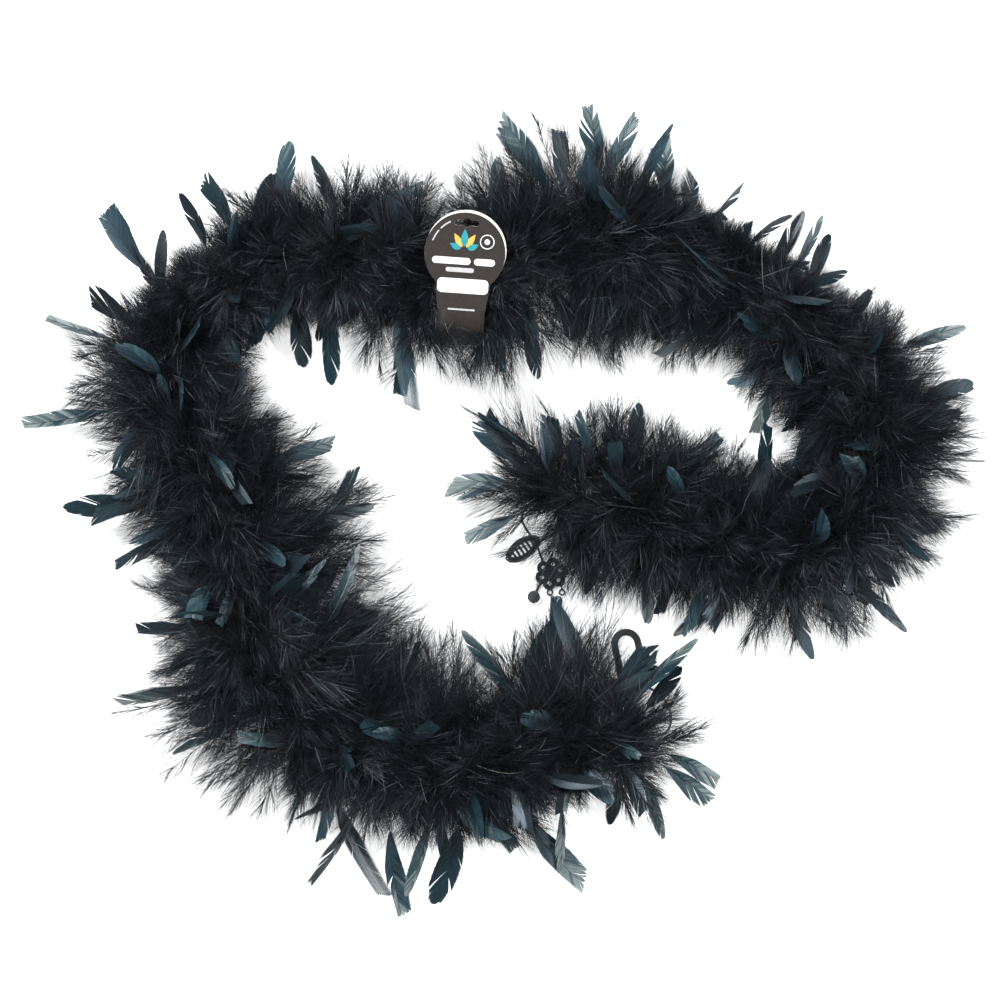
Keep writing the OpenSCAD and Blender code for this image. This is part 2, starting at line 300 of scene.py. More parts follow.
def noise_from(tree, source, scale, detail):
    node = set_inputs(tree.nodes.new("ShaderNodeTexNoise"), Scale=scale, Detail=detail)
    link(tree, source, node.inputs["Vector"])
    return node.outputs["Fac"]


def bump_from(tree, shader, height, strength, distance):
    node = set_inputs(tree.nodes.new("ShaderNodeBump"), Strength=strength, Distance=distance)
    link(tree, height, node.inputs["Height"])
    link(tree, node.outputs["Normal"], shader.inputs["Normal"])


def feather_material(name, tints, root_shade, tip_shade, roughness, sheen, specular):
    """Colour by feather, from the first map coordinate, and by place along the barb, from the second."""
    material, tree, shader = principled(
        name, Roughness=roughness, Sheen_Weight=sheen, Sheen_Roughness=0.45, Specular_IOR_Level=specular,
        Specular_Tint=(0.72, 0.88, 1.0, 1))
    uv = tree.nodes.new("ShaderNodeUVMap")
    uv.uv_map = "OFBake"
    split = tree.nodes.new("ShaderNodeSeparateXYZ")
    link(tree, uv.outputs["UV"], split.inputs["Vector"])
    colour = ramp_from(tree, split.outputs["X"], tints)
    # painted shade and light along the barb: on the down and the vanes, root_shade darkens the roots as
    # painted shade deep in the feathers, and tip_shade lightens the tips as painted light; on the quills the
    # ramp only runs darker towards the tip
    shades = [(0.0, grey(root_shade)), (0.6, grey(1)), (1.0, grey(tip_shade))]
    along = ramp_from(tree, split.outputs["Y"], shades)
    stretch = set_inputs(tree.nodes.new("ShaderNodeMapping"), Scale=(90, 7, 1))
    link(tree, uv.outputs["UV"], stretch.inputs["Vector"])
    fine = noise_from(tree, stretch.outputs["Vector"], 1.0, 3)
    streak = ramp_from(tree, fine, [(0.3, grey(0.72)), (0.7, grey(1.35))])
    link(tree, multiplied(tree, multiplied(tree, colour, along), streak), shader.inputs["Base Color"])
    return material


DOWN = feather_material(
    "down",
    [(0.0, (0.0020, 0.0026, 0.0034)), (0.3, (0.0034, 0.0045, 0.0062)), (0.55, (0.0062, 0.0085, 0.0125)),
     (0.76, (0.0145, 0.0135, 0.0150)), (0.90, (0.034, 0.041, 0.052)), (1.0, (0.12, 0.135, 0.155))],
    0.6, 1.7, 0.40, 0.03, 0.25,
)
# the pale grey-teal top of this ramp is painted light, for thin vanes that light shines through
VANE = feather_material(
    "vane",
    [(0.0, (0.004, 0.007, 0.009)), (0.3, (0.006, 0.016, 0.022)), (0.55, (0.010, 0.033, 0.045)),
     (0.78, (0.040, 0.070, 0.080)), (1.0, (0.21, 0.25, 0.25))],
    0.85, 1.2, 0.38, 0.02, 0.35,
)
QUILL = feather_material(
    "quill",
    [(0.0, (0.005, 0.006, 0.008)), (0.6, (0.012, 0.014, 0.018)), (0.85, (0.11, 0.115, 0.12)),
     (1.0, (0.42, 0.42, 0.38))],
    1.1, 0.8, 0.35, 0.0, 0.4,
)
FEATHER_MATERIALS = [DOWN, VANE, QUILL]
M_DOWN, M_VANE, M_QUILL = 0, 1, 2


def woven(name, colour, lighter, scale, roughness, bump, distance):
    """Twisted or knitted yarn: fine fibres that run along it, in bump and in colour."""
    material, tree, shader = principled(name, Roughness=roughness, Sheen_Weight=0.3)
    where = tree.nodes.new("ShaderNodeTexCoord")
    wave = tree.nodes.new("ShaderNodeTexWave")
    set_inputs(wave, Scale=scale, Distortion=5, Detail=3, Detail_Scale=2.5)
    link(tree, where.outputs["Object"], wave.inputs["Vector"])
    fleck = noise_from(tree, where.outputs["Object"], scale * 2.5, 4)
    link(tree, ramp_from(tree, fleck, [(0.3, colour), (0.75, lighter)]), shader.inputs["Base Color"])
    bump_from(tree, shader, wave.outputs["Fac"], bump, distance)
    return material


CORD = woven("cord", (0.010, 0.010, 0.012), (0.035, 0.035, 0.04), 900, 0.7, 0.5, 0.0002)
THREAD = woven("thread", (0.006, 0.006, 0.008), (0.02, 0.02, 0.024), 1400, 0.45, 0.4, 0.0001)
YARN = woven("yarn", (0.006, 0.006, 0.007), (0.022, 0.022, 0.024), 1100, 0.62, 0.6, 0.0002)


MOTTLE_SCALE, FIBRE_SCALE = 220, 2600


def board(name, colour, other, roughness, grain=0.15):
    """Coated card: a faint mottle in the print, and paper fibre in the bump."""
    material, tree, shader = principled(name, Roughness=roughness, Specular_IOR_Level=0.25)
    where = tree.nodes.new("ShaderNodeTexCoord")
    mottle = noise_from(tree, where.outputs["Object"], MOTTLE_SCALE, 5)
    link(tree, ramp_from(tree, mottle, [(0.3, colour), (0.7, other)]), shader.inputs["Base Color"])
    fibre = noise_from(tree, where.outputs["Object"], FIBRE_SCALE, 2)
    bump_from(tree, shader, fibre, grain, 0.0001)
    return material


PRINT = board("card_print", (0.022, 0.018, 0.016), (0.030, 0.025, 0.022), 0.5, 0.1)
BOARD = board("card_board", (0.74, 0.71, 0.64), (0.82, 0.79, 0.72), 0.7, 0.3)
LABEL = board("label_paper", (0.80, 0.80, 0.80), (0.86, 0.86, 0.86), 0.55)
INK_WHITE = board("ink_white", (0.70, 0.70, 0.70), (0.80, 0.80, 0.80), 0.5)
INK_TEAL = board("ink_teal", (0.02, 0.22, 0.26), (0.03, 0.30, 0.34), 0.5)
INK_GOLD = board("ink_gold", (0.55, 0.36, 0.06), (0.65, 0.44, 0.09), 0.5)
INK_GREY = board("ink_grey", (0.40, 0.40, 0.41), (0.50, 0.50, 0.51), 0.5)

# ---- feathers


def frames(direction, roll):
    """A vane's normal, as level as it can lie and then rolled, and its side vector."""
    up = UP - direction * direction[:, 2:]
    upright = np.linalg.norm(up, axis=1, keepdims=True) < 0.15
    level = np.array([1.0, 0.3, 0])
    up = unit(np.where(upright, level - direction * (direction @ level)[:, None], up))
    side = np.cross(up, direction)
    c, s = np.cos(roll)[:, None], np.sin(roll)[:, None]
    return up * c + side * s, side * c - up * s


class Shafts:
    """Curved shafts of feathers: each bends to its side, lifts along its normal and droops."""

    def __init__(self, root, direction, roll, length, bend, lift, droop):
        self.root, self.direction, self.length, self.bend = root, direction, length, bend
        self.normal, self.side = frames(direction, roll)
        self.lift, self.droop = lift, droop

    def at(self, t):
        """Points and tangents, for t of shape (feathers, places)."""
        t = t[..., None]
        b, w = self.bend[:, None, None], self.lift[:, None, None]
        d, n, s = self.direction[:, None], self.normal[:, None], self.side[:, None]
        fall = np.array([0, 0, -1.0]) * self.droop[:, None, None]
        p = self.root[:, None] + self.length[:, None, None] * (t * d + t * t * (b * s + w * n + fall) / 2)
        return p, unit(d + t * (b * s + w * n + fall))


MOST_RISE, RISE_SOFTNESS = 0.060, 0.072
MOST_FALL, FALL_SOFTNESS = 0.0512, 0.046


def settle(p):
    """Heights drawn in smoothly: flattened at the surface that the boa lies on, and level on top."""
    dz = p[..., 2] - CORE_Z
    z = np.where(dz > 0, MOST_RISE * np.tanh(dz / RISE_SOFTNESS), MOST_FALL * np.tanh(dz / FALL_SOFTNESS))
    out = p.copy()
    out[..., 2] = CORE_Z + z
    return out


def perpendicular(rng, v):
    a = rng.normal(size=v.shape)
    return unit(a - v * np.sum(a * v, -1, keepdims=True))


def add_barbs(bundle, fit, p, width, shade, material):
    """Ribbons of four points; p is (feathers, barbs, 4, 3), shade (feathers, barbs)."""
    n, barbs = shade.shape
    w = np.broadcast_to(width, p.shape).reshape(-1, 4, 3)
    p = fit(p.reshape(-1, 4, 3), np.repeat(np.arange(n), barbs))
    bundle.ribbons(p, w, np.clip(shade, 0.02, 0.98).ravel(), material)


# Barbs that lean together
GROUP = 8


def down_barbs(rng, bundle, fit, shafts, barbs, barb_length, first, last, spread, width, tint):
    """Long soft barbs on both sides of a shaft, in small groups; the last ones reach past its tip."""
    n = len(tint)
    share = (np.arange(barbs)[None] + rng.uniform(0, 1, (n, barbs))) / barbs
    t = first + (last - first) * share
    base, along = shafts.at(t)
    which = np.where(rng.uniform(size=(n, barbs)) < 0.5, -1.0, 1.0)
    # barbs of one group share a lean and a plane
    group = (np.arange(barbs) // GROUP)[None] * 2 + (which > 0)
    groups = int(group.max()) + 1
    row = np.arange(n)[:, None]
    group_lean = rng.normal(0, 7, (n, groups))[row, group]
    group_plane = rng.normal(0, spread, (n, groups))[row, group]
    group_reach = rng.uniform(0.75, 1.15, (n, groups))[row, group]
    angle = np.radians(60 - 44 * share**1.3 + group_lean + rng.normal(0, 6.5, (n, barbs)))[..., None]
    plane = np.radians(group_plane + rng.normal(0, 12, (n, barbs)))[..., None]
    across = shafts.side[:, None] * which[..., None]
    outwards = np.cos(plane) * across + np.sin(plane) * shafts.normal[:, None]
    heading = unit(np.cos(angle) * along + np.sin(angle) * outwards)
    reach = barb_length[:, None] * (0.62 + 0.38 * np.sin(np.pi * np.clip(share * 0.8 + 0.15, 0, 1)))
    reach = reach * (1 - 0.18 * share**3) * group_reach * rng.uniform(0.75, 1.1, (n, barbs))
    u = np.array([0, 0.3, 0.65, 1.0])[None, None, :, None]
    curl = along * rng.uniform(0.15, 0.55, (n, barbs, 1))
    curl = curl + perpendicular(rng, heading) * rng.normal(0, 0.13, (n, barbs, 1))
    twist = perpendicular(rng, heading) * rng.normal(0, 0.10, (n, barbs, 1))
    curve = u * heading[:, :, None] + u * u * curl[:, :, None] + np.sin(u * 5.0) * u * twist[:, :, None] * 0.6
    p = base[:, :, None] + reach[..., None, None] * curve
    flat = perpendicular(rng, heading)[:, :, None]
    half = width * np.array([0.5, 0.5, 0.34, 0.07])[None, None, :, None]
    pale = np.where(rng.uniform(size=(n, barbs)) < 0.04, rng.uniform(0.3, 0.85, (n, barbs)), 0)
    group_tint = rng.normal(0, 0.07, (n, groups))[row, group]
    shade = tint[:, None] * 0.9 + group_tint + rng.normal(0, 0.04, (n, barbs)) + pale
    add_barbs(bundle, fit, p, flat * half, shade, M_DOWN)


def quills(bundle, fit, shafts, thick, end, tint):
    """Tapered shafts as thin tubes, up to the share end of their length."""
    places = 9
    p, _ = shafts.at(np.broadcast_to(np.linspace(0.0, end, places), (len(tint), places)))
    p = fit(p, np.arange(len(tint)))
    radius = thick[:, None] * np.linspace(1.0, 0.22, places)[None] / 2
    bundle.tubes(p, radius, 4, tint, M_QUILL)


# Distance between two barbs of a vane, and the share of the shaft at which they end
VANE_PITCH = 0.0010
VANE_END = 0.985


def vanes(rng, bundle, fit, shafts, first, width, square, tint):
    """Smooth flat vanes of close barbs. square runs from 0, a pointed leaf, to 1, a tip cut straight."""
    n = len(tint)
    count = int(np.ceil((shafts.length * (1 - first)).max() / VANE_PITCH))
    share = np.broadcast_to((np.arange(count) + 0.5) / count, (n, count))
    oblique = rng.uniform(-0.9, 0.9, (n, 1, 1, 1))
    for which in (-1.0, 1.0):
        t = first[:, None] + (VANE_END - first[:, None]) * share
        base, along = shafts.at(t)
        # a change of slant splits the vane between groups of barbs
        cuts = np.sort(rng.uniform(0.25, 0.95, (n, 2, 1)), axis=1)
        steps = (np.abs(rng.normal(0, 5, (n, 2, 1))) * (share[:, None] > cuts)).sum(1)
        slant = np.radians(42 - 12 * share - steps)[..., None]
        leaf = np.sin(np.pi * np.clip(share, 0, 1) ** 0.8) ** 0.62
        blunt = np.clip(share * 3, 0, 1) ** 0.7
        profile = leaf * (1 - square[:, None]) + blunt * square[:, None]
        one_side = 1.0 + 0.3 * which * np.sign(shafts.bend)[:, None]
        reach = width[:, None] / 2 * profile * one_side / np.sin(np.radians(36))
        reach = reach * (1 + rng.normal(0, 0.015, (n, count))) + 0.0006
        side = shafts.side[:, None]
        lane = unit(side - along * np.sum(side * along, -1, keepdims=True))
        face = unit(np.cross(along, lane))
        heading = np.cos(slant) * along + np.sin(slant) * lane * which
        u = np.array([0, 0.36, 0.72, 1.0])[None, None, :, None]
        camber = -face * rng.uniform(4, 30, (n, 1, 1)) * (reach[..., None] * np.sin(slant)) ** 2
        hook = along * reach[..., None] * 0.22
        p = base[:, :, None] + u * (heading * reach[..., None])[:, :, None]
        p = p + u * u * (camber + hook)[:, :, None]
        # a tip cut straight: no barb reaches past the shaft's end
        from_end = p - base[:, -1:, None]
        ahead = np.sum(from_end * along[:, -1:, None], -1, keepdims=True)
        ahead = ahead + oblique * np.sum(from_end * lane[:, -1:, None], -1, keepdims=True)
        cut = np.where(square[:, None, None, None] > 0.4, np.maximum(ahead - 0.0015, 0), 0)
        p = p - cut * along[:, -1:, None]
        across = unit(np.cross(heading, face))
        step = (shafts.length * (VANE_END - first) / count)[:, None, None, None]
        half = step * np.sin(slant)[:, :, None] * np.array([0.75, 0.8, 0.8, 0.35])[None, None, :, None]
        lines = np.repeat(rng.normal(0, 0.07, (n, count // 4 + 1)), 4, axis=1)[:, :count]
        # painted shade and light: each vane is darker low on its shaft, among the down, and lighter towards
        # its tip
        shade = tint[:, None] * (0.45 + 0.55 * share) + lines * (0.4 + tint[:, None])
        shade = shade + rng.normal(0, 0.04, (n, count))
        add_barbs(bundle, fit, p, across[:, :, None] * half, shade, M_VANE)


def fitter(held):
    """A function that settles the points of feathers and keeps them clear of the card."""
    def fit(p, feather):
        return clear_card(settle(p), held[feather][:, None] & np.ones(p.shape[1], bool)[None])
    return fit


# Distance from a joint within which feathers are blended across it
BLEND_REACH = 0.022
# How far the down reaches on the left and on the right of each half section, against its usual reach
REACH_LEFT = [1.5, 1.55, 1.45, 1.4, 1.35, 1.55, 1.15, 1.3, 2.0, 2.25, 1.7, 1.5,
              1.1, 0.95, 1.15, 1.2, 1.5, 2.3, 2.5, 2.5, 2.2, 2.1, 2.2, 2.3]
REACH_RIGHT = [1.6, 1.2, 1.3, 1.85, 1.5, 1.3, 0.9, 0.65, 0.6, 1.9, 1.95, 1.9,
               1.55, 0.95, 0.45, 1.9, 1.55, 1.2, 1.6, 2.4, 1.15, 1.2, 1.4, 0.5]


def reach_at(k, s, turn):
    """The share of the usual reach for feathers at distances s that leave the core at angle turn."""
    where = (k - 1) + s / SECTION
    middles = (np.arange(2 * LAST) + 0.5) / 2
    left = np.interp(where, middles, REACH_LEFT)
    right = np.interp(where, middles, REACH_RIGHT)
    level = np.abs(np.cos(turn))
    share = 1 + (np.where(np.cos(turn) > 0, left, right) - 1) * level + 0.08 * (1 - level)
    # the bunches that run out past the two ends
    share = np.where((where < 0.2) & (np.cos(turn) > 0), share * 1.1, share)
    last = where > LAST - 0.24
    share = np.where(last & (np.cos(turn) > 0), share * 0.6, share)
    return np.where(last & (np.cos(turn) <= 0), share + 0.75, share)


FEATHERS_PER_SECTION = 185
BARBS = 190
TUFTS_PER_SECTION = 44
TUFT_BARBS = 110
PLUME_BARBS = 60


def feather_set(rng, k, s, n, lengths):
    """Roots and directions of n feathers on section k at distances s."""
    point, tangent, left = on_route(k, s)
    turn = np.radians(rng.uniform(-38, 218, n))
    under = rng.uniform(size=n) < 0.14
    turn = np.where(under, np.radians(rng.uniform(-150, -30, n)), turn)
    lean = np.radians(rng.normal(0, 24, n) + rng.normal(0, 42, n) * np.clip(np.sin(turn), 0, 1) ** 2)
    if k == CARD_SECTION:
        away = s - SECTION / 2
        near = np.clip(1 - np.abs(away) / 0.070, 0, 1) * np.clip(np.sin(turn), 0, 1) ** 0.5
        lean = lean * (1 - near) + np.sign(away) * near * np.radians(34)
        # beside the strip, on the side away from the panel, they lean in over it
        over = (np.cos(turn) > 0.3) & (np.abs(away) > 0.022) & (np.abs(away) < 0.055)
        lean = np.where(over, -np.sign(away) * np.radians(rng.uniform(8, 38, n)), lean)
    if k == 1:
        end = s < 0.025
        turn = np.where(end & (np.cos(turn) < 0) & (rng.uniform(size=n) < 0.45), np.pi - turn, turn)
        back = np.where(rng.uniform(size=n) < 0.5, rng.uniform(58, 88, n), rng.uniform(-25, 0, n))
        lean = np.where(end, -np.radians(np.where(np.cos(turn) > 0, rng.uniform(8, 74, n), back)), lean)
    if k == LAST:
        lean = np.where(s > SECTION - 0.035, np.radians(rng.uniform(10, 88, n)), lean)
    out = around(left, turn)
    direction = leaning(out, tangent, lean)
    root = point + out * CORE_R * ROOT_DEPTH
    level = 1 - direction[:, 2] ** 2
    # the inner side of a tight bend has less room
    inner = np.where(np.cos(turn) * np.sign(BENDS[k - 1]) > 0, np.abs(np.cos(turn)), 0)
    room = 1 - 0.0012 * abs(BENDS[k - 1]) * inner
    share = reach_at(k, s, turn)
    return root, direction, lengths * room * share, share, level


def section_roots(rng, k, count):
    """Evenly scattered distances along section k, clear of its ends."""
    lo = 0.004
    hi = SECTION - (0.012 if k == LAST else 0.002)
    return lo + (hi - lo) * (np.arange(count) + rng.uniform(0, 1, count)) / count


def owner_of(k, s):
    """The joint that a root is close to, as the lower section's number, or 0."""
    near_next = (s > SECTION - BLEND_REACH) & (k < LAST)
    near_last = (s < BLEND_REACH) & (k > 1)
    return np.where(near_next, k, np.where(near_last, k - 1, 0))


# The plumes that the CAD has: section, distance along it in mm, side (1 is left), lean in degrees, and the
# length and width of the vane in mm
PLUMES = [
    [1, 6, 1, -70, 92, 24], [1, 6, -1, -70, 88, 14], [1, 12, 1, -25, 96, 9],
    [1, 70, 1, 0, 92, 16], [1, 110, -1, 0, 92, 20],
    [2, 30, -1, 5, 92, 16], [2, 70, -1, -5, 100, 14], [2, 110, -1, 0, 112, 12],
    [3, 50, -1, 0, 93, 16], [3, 90, -1, 0, 92, 22], [3, 125, -1, 0, 104, 14],
    [4, 35, 1, 0, 100, 16], [4, 110, 1, 0, 92, 22], [4, 75, -1, 0, 92, 14],
    [5, 40, -1, 10, 96, 22], [5, 90, -1, 0, 125, 20], [5, 120, -1, -5, 104, 16],
    [5, 40, 1, 0, 96, 22],
    [6, 30, -1, 0, 104, 16], [6, 30, 1, 0, 96, 14], [6, 120, 1, 0, 104, 16],
    [7, 40, -1, 10, 96, 12], [7, 90, -1, -5, 102, 20], [7, 45, 1, 0, 112, 18],
    [8, 40, -1, 0, 112, 22], [8, 85, -1, -5, 120, 16], [8, 120, -1, 5, 142, 14],
    [9, 60, -1, 0, 135, 22], [9, 95, -1, 0, 110, 16], [9, 60, 1, 0, 112, 16],
    [9, 110, 1, 0, 126, 20],
    [10, 35, -1, 0, 100, 12], [10, 75, -1, 0, 132, 18], [10, 110, -1, -5, 116, 14],
    [10, 60, 1, 0, 96, 18],
    [11, 35, -1, 0, 110, 16], [11, 85, -1, 0, 138, 18], [11, 118, -1, 0, 112, 14],
    [11, 75, 1, 0, 108, 12],
    [12, 35, -1, 0, 130, 22], [12, 80, -1, 0, 112, 12], [12, 50, 1, 0, 118, 20],
    [12, 140, 1, 45, 84, 14], [12, 146, -1, 75, 88, 16], [12, 140, -1, 30, 92, 12],
    # more of them between those and at the two ends
    [1, 8, 1, -48, 100, 22], [2, 45, 1, 5, 112, 14], [5, 130, -1, -12, 128, 24], [5, 105, -1, -20, 120, 16],
    [6, 95, 1, -10, 122, 14], [7, 75, 1, 10, 96, 20], [9, 15, -1, 0, 118, 14], [9, 30, -1, 15, 112, 20],
    [10, 20, 1, -10, 138, 14], [10, 95, 1, 0, 132, 12], [11, 60, -1, 10, 128, 16], [11, 140, -1, 0, 118, 24],
    [12, 70, 1, -15, 128, 18], [12, 92, 1, -5, 132, 22], [12, 112, 1, 12, 124, 18], [12, 132, 1, 30, 112, 16],
    [12, 144, -1, 55, 96, 18], [12, 84, 1, 48, 108, 24], [12, 100, 1, 40, 104, 26], [12, 118, 1, 26, 96, 24],
    [12, 128, 1, 40, 82, 22]]


def quill_tints(rng, a, b, n):
    return rng.beta(a, b, n).clip(0.02, 0.98)


def grow(bundle, seed, k, s):
    """Down feathers rooted at distances s of section k."""
    rng = np.random.default_rng(seed)
    n = len(s)
    lengths = rng.normal(0.047, 0.008, n).clip(0.028, 0.068)
    root, direction, lengths, share, level = feather_set(rng, k, s, n, lengths)
    roll = np.radians(rng.normal(0, 38, n))
    bend = rng.normal(0, 0.42, n)
    lift = rng.normal(-0.12, 0.25, n)
    droop = 0.75 * level * rng.uniform(0.5, 1.1, n)
    fit = fitter(in_waist(k, s))
    tint = rng.beta(1.8, 2.2, n)
    reach = rng.normal(0.031, 0.004, n).clip(0.020, 0.040) * share**0.5
    shafts = Shafts(root, direction, roll, lengths, bend, lift, droop)
    down_barbs(rng, bundle, fit, shafts, BARBS, reach, 0.08, 1.0, 34, 0.00037, tint)
    quills(bundle, fit, shafts, rng.uniform(0.0008, 0.0012, n), 0.99, quill_tints(rng, 1.2, 3.5, n))


def grow_tufts(bundle, seed, k, s):
    """Short dense down close to the core, which hides it."""
    rng = np.random.default_rng(seed)
    n = len(s)
    root, direction, lengths, _, _ = feather_set(rng, k, s, n, np.full(n, 0.022))
    roll = np.radians(rng.normal(0, 60, n))
    zero = np.zeros(n)
    fit = fitter(in_waist(k, s))
    shafts = Shafts(root, direction, roll, lengths, zero, zero, zero)
    tint = rng.uniform(0.02, 0.5, n)
    down_barbs(rng, bundle, fit, shafts, TUFT_BARBS, np.full(n, 0.034), 0.0, 1.0, 80, 0.0005, tint)


def grow_plumes(bundle, seed, k, s, turn, lean, lengths, widths, square, tint, first, bend=None):
    """Vaned plumes with down at their lower half. turn is the angle round the core from its left side."""
    rng = np.random.default_rng(seed)
    n = len(s)
    point, tangent, left = on_route(k, s)
    out = around(left, turn)
    direction = leaning(out, tangent, lean)
    root = point + out * CORE_R * ROOT_DEPTH
    roll = np.radians(rng.normal(0, 30, n))
    if bend is None:
        bend = rng.normal(0, 0.8, n)
    lift = rng.normal(-0.08, 0.18, n)
    droop = 0.55 * np.abs(np.cos(turn)) * rng.uniform(0.4, 1.1, n)
    fit = fitter(in_waist(k, s))
    shafts = Shafts(root, direction, roll, lengths, bend, lift, droop)
    vanes(rng, bundle, fit, shafts, first, widths, square, tint)
    down = rng.beta(2, 2.6, n)
    down_barbs(rng, bundle, fit, shafts, PLUME_BARBS, np.full(n, 0.017), 0.12, 0.62, 40, 0.0005, down)
    quills(bundle, fit, shafts, rng.uniform(0.0011, 0.0016, n), 0.995, quill_tints(rng, 1.1, 2.6, n))


bundles = {("section", k): Bundle() for k in range(1, LAST + 1)}
bundles.update({("joint", k): Bundle() for k in range(1, LAST)})


def by_bundle(k, s):
    """Each bundle that holds some of the roots of section k, its joint or 0, and which roots they are."""
    owner = owner_of(k, s)
    for o in sorted(set(owner.tolist())):
        yield bundles[("joint", o) if o else ("section", k)], o, owner == o


def scatter_down(rng, k):
    """Down feathers, then short tufts, each bundle of them from a seed of its own."""
    s = section_roots(rng, k, FEATHERS_PER_SECTION)
    for bundle, o, pick in by_bundle(k, s):
        grow(bundle, 1000 + 20 * k + o, k, s[pick])
    s = section_roots(rng, k, TUFTS_PER_SECTION)
    for bundle, o, pick in by_bundle(k, s):
        grow_tufts(bundle, 2000 + 20 * k + o, k, s[pick])


def scatter_plumes(rng, k, count=13):
    """Shorter plumes all round, which lean away from the card and out at the boa's two ends."""
    s = rng.uniform(0.006, SECTION - 0.006, count)
    turn = np.radians(rng.uniform(-25, 205, count))
    lean = np.radians(rng.normal(0, 30, count))
    if k == CARD_SECTION:
        lean = away_from_card(s, lean, 40)
    if k == 1:
        lean = np.where(s < 0.03, -np.abs(lean), lean)
    if k == LAST:
        lean = np.where(s > SECTION - 0.04, np.abs(lean), lean)
    lengths = rng.normal(0.080, 0.008, count).clip(0.062, 0.096)
    widths = rng.uniform(0.010, 0.022, count)
    square = (rng.uniform(size=count) < 0.45).astype(float) * rng.uniform(0.6, 1.0, count)
    tint = rng.beta(1.3, 2.0, count)
    if k == 1:
        turn = np.where((s < 0.055) & (np.cos(turn) < 0), np.pi - turn, turn)
    for bundle, o, pick in by_bundle(k, s):
        grow_plumes(bundle, 3000 + 20 * k + o, k, s[pick], turn[pick], lean[pick], lengths[pick],
                    widths[pick], square[pick], tint[pick], np.full(pick.sum(), 0.40))


def away_from_card(s, lean, degrees):
    return np.where(np.abs(s - SECTION / 2) < 0.06, np.sign(s - SECTION / 2) * np.radians(degrees), lean)


def scatter_shafts(rng, k, count=9):
    """Thin bare shafts that catch the light on top of the down."""
    s = rng.uniform(0.03, SECTION - 0.03, count)
    turn = np.radians(rng.uniform(35, 145, count))
    point, tangent, left = on_route(k, s)
    out = around(left, turn)
    lean = np.radians(rng.normal(0, 35, count))
    if k == CARD_SECTION:
        lean = away_from_card(s, lean, 50)
    shafts = Shafts(point + out * CORE_R * ROOT_DEPTH, leaning(out, tangent, lean), rng.uniform(-3, 3, count),
                    rng.uniform(0.060, 0.085, count), rng.normal(0, 1.2, count), np.zeros(count),
                    np.full(count, 0.3))
    quills(bundles[("section", k)], fitter(np.zeros(count, bool)), shafts, np.full(count, 0.0007), 1.0,
           rng.uniform(0.3, 0.98, count))


def place_plumes(rng, k):
    """The plumes that stand out, which are listed one by one."""
    rows = np.array([p for p in PLUMES if p[0] == k], float)
    m = len(rows)
    s = rows[:, 1] * MM
    turn = np.where(rows[:, 2] > 0, 0.0, np.pi) + np.radians(rng.normal(0, 6, m))
    # two in five of these plumes are pale: painted light, for thin vanes that light shines through
    tint = np.where(rng.uniform(size=m) < 0.4, rng.uniform(0.9, 1.15, m), rng.uniform(0.3, 0.8, m))
    square = (rng.uniform(size=m) < 0.55).astype(float)
    for bundle, o, pick in by_bundle(k, s):
        grow_plumes(bundle, 5000 + 20 * k + o, k, s[pick], turn[pick], np.radians(rows[pick, 3]),
                    rows[pick, 4] * MM, rows[pick, 5] * MM, square[pick], tint[pick],
                    np.full(pick.sum(), 0.42), rng.normal(0, 0.5, m)[pick])


for k in range(1, LAST + 1):
    rng = np.random.default_rng(100 + k)
    scatter_down(rng, k)
    scatter_plumes(rng, k)
    scatter_shafts(rng, k)
    place_plumes(rng, k)

for (kind, k), bundle in bundles.items():
    if not bundle.count:
        continue
    if kind == "section":
        piece = bundle.piece(f"feathers_{k:02d}", FEATHER_MATERIALS)
        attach(piece, f"section_{k:02d}")
        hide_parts(f"down_feathers_{k:02d}", f"plume_feathers_{k:02d}")
    else:
        piece = bundle.piece(f"feathers_{k:02d}_{k + 1:02d}", FEATHER_MATERIALS)
        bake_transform(piece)

# ---- twisted core and its thread


def placed(piece, body, slot, *nodes):
    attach(piece, body)
    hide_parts(*nodes)
    return piece


CORE_LAY = 0.013
THREAD_PITCH = 0.0055


def wound(bundle, k, s, turn, radius, thick, sides):
    """A strand wound round the core of section k, at angles turn over distances s."""
    point, _, left = on_route(k, s)
    bundle.strand(point + radius * around(left, turn), thick, sides)


for k in range(1, LAST + 1):
    s = np.arange(0.0, SECTION + 0.0001, 0.0015)
    if k == 1:
        s = s + 0.0005
    core = Bundle()
    for strand in (0.0, np.pi):
        wound(core, k, s, 2 * np.pi * s / CORE_LAY + strand, 0.0019, 0.0021, 10)
    placed(core.piece(f"core_{k:02d}", [CORD]), f"section_{k:02d}", "core_cord", f"core_cord_{k:02d}")
    # thread, wound on without a break
    s = np.arange(0.003, SECTION - 0.0029, 0.0006)
    thread = Bundle()
    wound(thread, k, s, 2 * np.pi * s / THREAD_PITCH, 0.0044, 0.0003, 5)
    placed(thread.piece(f"thread_{k:02d}", [THREAD]), f"section_{k:02d}", "thread", f"binding_thread_{k:02d}")

WHIPPING_TURNS = 15
for letter, k, first in (("a", 1, 0.0045), ("b", LAST, SECTION - 0.0135)):
    turn = np.linspace(0, 2 * np.pi * WHIPPING_TURNS, WHIPPING_TURNS * 16)
    whip = Bundle()
    wound(whip, k, first + 0.009 * turn / turn[-1], turn, 0.0050, 0.00036, 6)
    placed(whip.piece(f"whipping_{letter}", [THREAD]), f"section_{k:02d}", "thread", f"end_whipping_{letter}")

# ---- flat pieces cut from card


